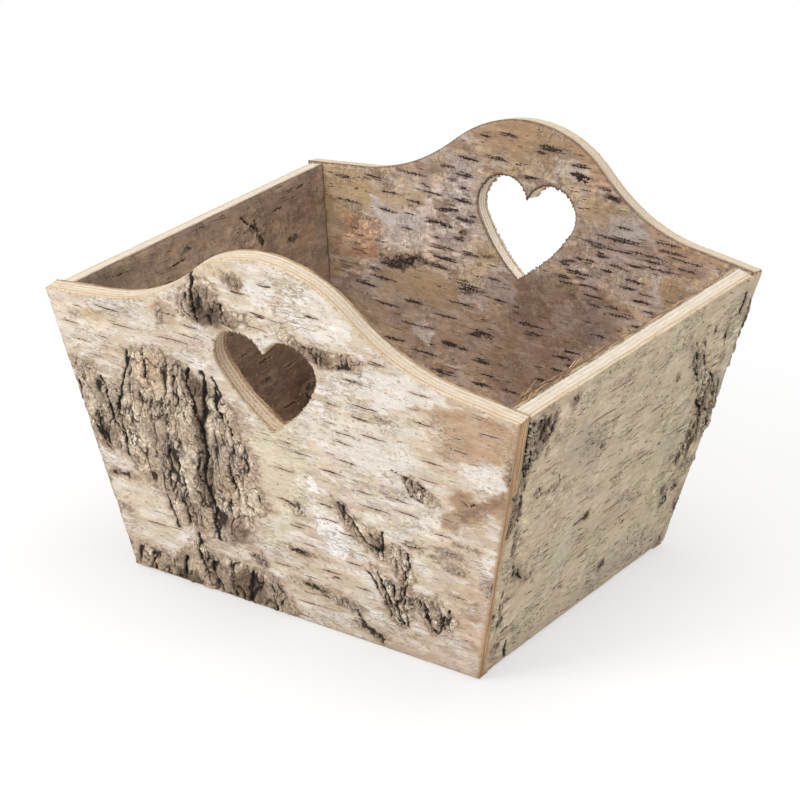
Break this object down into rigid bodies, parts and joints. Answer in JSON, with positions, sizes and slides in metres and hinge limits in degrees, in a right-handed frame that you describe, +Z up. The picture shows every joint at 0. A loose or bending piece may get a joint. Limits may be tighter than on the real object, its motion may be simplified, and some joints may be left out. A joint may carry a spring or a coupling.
{
  "type": "wooden basket",
  "caption": "Small flared four-sided basket of bark-faced boards, with arched end walls that have heart cut-outs, plain side walls and an open top.",
  "frame": {"origin": "centre of the basket's foot, on the surface that it stands on", "axes": "+Z up, +X along the arched end walls, which is the longest extent, and -Y towards the front end wall"},
  "size_m": [0.2, 0.1834, 0.1488],
  "materials": {
    "plywood_core": "cream sawn plywood edge with a darker ply line",
    "outer_bark": "pale birch bark, matt, with dark lenticel dashes and furrowed brown plates",
    "inner_bark": "tan-brown birch bark, matt, with dark lenticel dashes",
    "base_plywood": "bare birch plywood, matt",
    "steel_brads": "plain drawn wire"
  },
  "bodies": {
    "root": {"front_core": "plywood_core", "front_outer_bark": "outer_bark", "front_inner_bark": "inner_bark", "back_core": "plywood_core", "back_outer_bark": "outer_bark", "back_inner_bark": "inner_bark", "left_core": "plywood_core", "left_outer_bark": "outer_bark", "left_inner_bark": "inner_bark", "right_core": "plywood_core", "right_outer_bark": "outer_bark", "right_inner_bark": "inner_bark", "base_board": "base_plywood", "corner_brads": "steel_brads", "base_brads": "steel_brads"}
  },
  "joints": []
}
